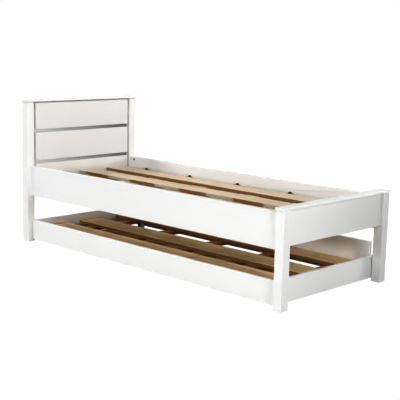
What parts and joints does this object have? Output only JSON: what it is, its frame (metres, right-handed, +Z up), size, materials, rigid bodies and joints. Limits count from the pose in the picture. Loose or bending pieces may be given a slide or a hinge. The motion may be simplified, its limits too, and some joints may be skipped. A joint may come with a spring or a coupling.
{
  "type": "trundle bed",
  "caption": "Slatted bed with a panelled headboard and low footboard, and a slatted trundle on fixed casters that rolls out sideways from beneath it.",
  "frame": {"origin": "floor level, at the centre of the bed's footprint", "axes": "+X along the length from head to foot, +Z up, and the trundle rolls out towards -Y"},
  "size_m": [2.01, 0.858, 0.846],
  "materials": {
    "white_paint": "satin white paint",
    "pine": "planed, clear sealed pine",
    "black_plastic": "moulded",
    "zinc_steel": "bright zinc plated",
    "wheel_rubber": "moulded grey-black tread"
  },
  "bodies": {
    "bed": {"bed_bearer_1": "pine", "bed_bearer_2": "pine", "bed_bearer_3": "pine", "bed_bearer_4": "pine", "bed_bearer_5": "pine", "bed_bearer_saddle_1_far": "black_plastic", "bed_bearer_saddle_1_near": "black_plastic", "bed_bearer_saddle_2_far": "black_plastic", "bed_bearer_saddle_2_near": "black_plastic", "bed_bearer_saddle_3_far": "black_plastic", "bed_bearer_saddle_3_near": "black_plastic", "bed_bearer_saddle_4_far": "black_plastic", "bed_bearer_saddle_4_near": "black_plastic", "bed_bearer_saddle_5_far": "black_plastic", "bed_bearer_saddle_5_near": "black_plastic", "bed_deck_board_1": "pine", "bed_deck_board_2": "pine", "bed_deck_board_3": "pine", "foot_post_far": "white_paint", "foot_post_near": "white_paint", "footboard_cap": "white_paint", "footboard_panel": "white_paint", "head_post_far": "white_paint", "head_post_near": "white_paint", "headboard_backing": "white_paint", "headboard_board_lower": "white_paint", "headboard_board_middle": "white_paint", "headboard_board_upper": "white_paint", "headboard_cap": "white_paint", "side_rail_far": "white_paint", "side_rail_near": "white_paint"},
    "trundle": {"caster_axle_foot_far": "zinc_steel", "caster_axle_foot_near": "zinc_steel", "caster_axle_head_far": "zinc_steel", "caster_axle_head_near": "zinc_steel", "caster_fork_foot_far": "zinc_steel", "caster_fork_foot_near": "zinc_steel", "caster_fork_head_far": "zinc_steel", "caster_fork_head_near": "zinc_steel", "trundle_bearer_1": "pine", "trundle_bearer_2": "pine", "trundle_bearer_3": "pine", "trundle_bearer_4": "pine", "trundle_bearer_5": "pine", "trundle_cleat_far": "pine", "trundle_cleat_near": "pine", "trundle_deck_board_1": "pine", "trundle_deck_board_2": "pine", "trundle_deck_board_3": "pine", "trundle_panel_far": "white_paint", "trundle_panel_foot": "white_paint", "trundle_panel_head": "white_paint", "trundle_panel_near": "white_paint"},
    "wheel_foot_far": {"caster_wheel_foot_far": "wheel_rubber"},
    "wheel_foot_near": {"caster_wheel_foot_near": "wheel_rubber"},
    "wheel_head_far": {"caster_wheel_head_far": "wheel_rubber"},
    "wheel_head_near": {"caster_wheel_head_near": "wheel_rubber"}
  },
  "joints": [
    {"name": "trundle_slide", "type": "slide", "parent": "bed", "child": "trundle", "axis": [0, -1, 0], "range_m": [0, 0.85]},
    {"name": "wheel_spin_foot_far", "type": "hinge", "parent": "trundle", "child": "wheel_foot_far", "pos_m": [0.7885, 0.332, 0.022], "axis": [1, 0, 0], "continuous": true},
    {"name": "wheel_spin_foot_near", "type": "hinge", "parent": "trundle", "child": "wheel_foot_near", "pos_m": [0.7885, -0.332, 0.022], "axis": [1, 0, 0], "continuous": true},
    {"name": "wheel_spin_head_far", "type": "hinge", "parent": "trundle", "child": "wheel_head_far", "pos_m": [-0.7795, 0.332, 0.022], "axis": [1, 0, 0], "continuous": true},
    {"name": "wheel_spin_head_near", "type": "hinge", "parent": "trundle", "child": "wheel_head_near", "pos_m": [-0.7795, -0.332, 0.022], "axis": [1, 0, 0], "continuous": true}
  ],
  "couplings": [
    {"joint": "wheel_spin_foot_far", "follows": "trundle_slide", "rad_per_m": 45.455},
    {"joint": "wheel_spin_foot_near", "follows": "trundle_slide", "rad_per_m": 45.455},
    {"joint": "wheel_spin_head_far", "follows": "trundle_slide", "rad_per_m": 45.455},
    {"joint": "wheel_spin_head_near", "follows": "trundle_slide", "rad_per_m": 45.455}
  ]
}
